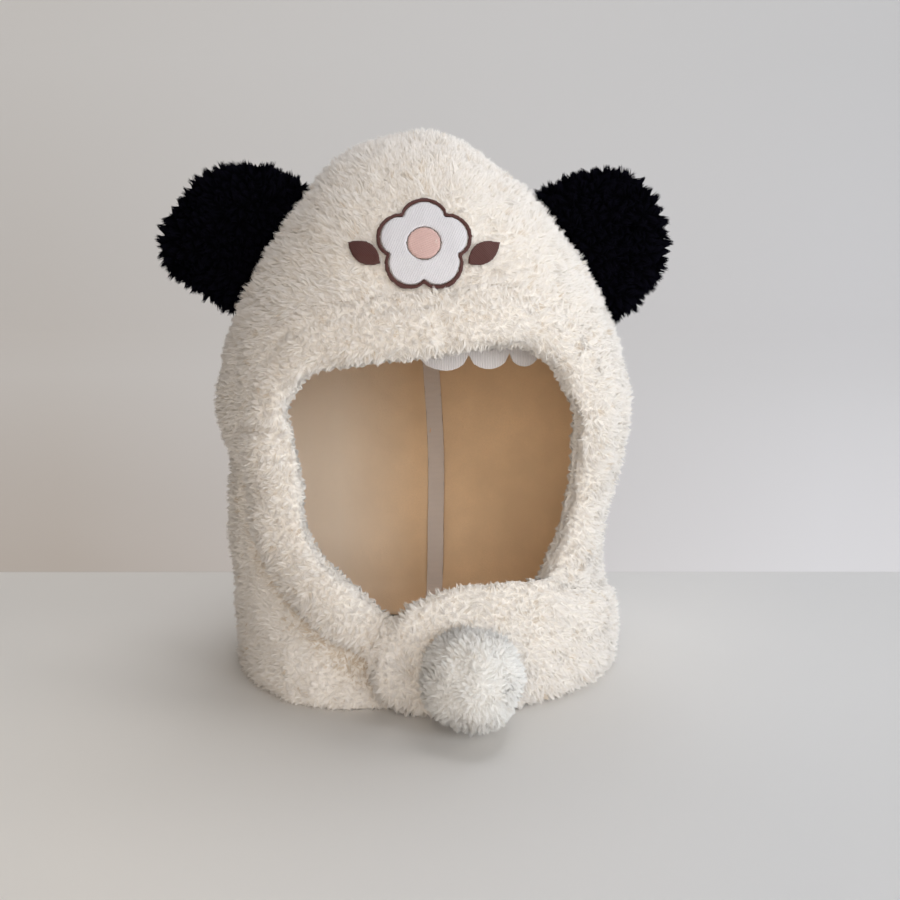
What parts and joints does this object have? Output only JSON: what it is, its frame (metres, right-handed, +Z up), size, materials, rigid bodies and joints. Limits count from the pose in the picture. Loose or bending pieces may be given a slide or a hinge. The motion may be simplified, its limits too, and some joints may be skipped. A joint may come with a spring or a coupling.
{
  "type": "animal hood scarf",
  "caption": "Child's padded fleece hood scarf with round plush ears, a rolled face opening, a front flap that wraps the neck and a pompom, standing on its hem.",
  "frame": {"origin": "on the surface the hem stands on, under the centre of the whole part's box", "axes": "+Z up to the crown, the face opening looks along -Y, +X is on the right of someone who faces it"},
  "size_m": [0.2798, 0.2412, 0.3045],
  "materials": {
    "fleece": "matt curly pile",
    "lining": "matt short nap",
    "tape": "satin weave",
    "trim": "thin translucent scalloped weave",
    "plush": "deep black short plush",
    "white_felt": "satin-stitched white",
    "pink_felt": "satin-stitched pink",
    "brown_stitch": "raised satin stitch",
    "pompom_fleece": "matt curly pile"
  },
  "bodies": {
    "root": {"hood_shell": "fleece", "face_rim": "fleece", "collar_flap": "fleece", "hood_lining": "lining", "back_seam_tape": "tape", "scallop_trim": "trim", "ear_left": "plush", "ear_right": "plush", "badge_outline": "brown_stitch", "badge_petals": "white_felt", "badge_centre": "pink_felt", "badge_leaf_left": "brown_stitch", "badge_leaf_right": "brown_stitch", "pompom": "pompom_fleece"}
  },
  "joints": []
}
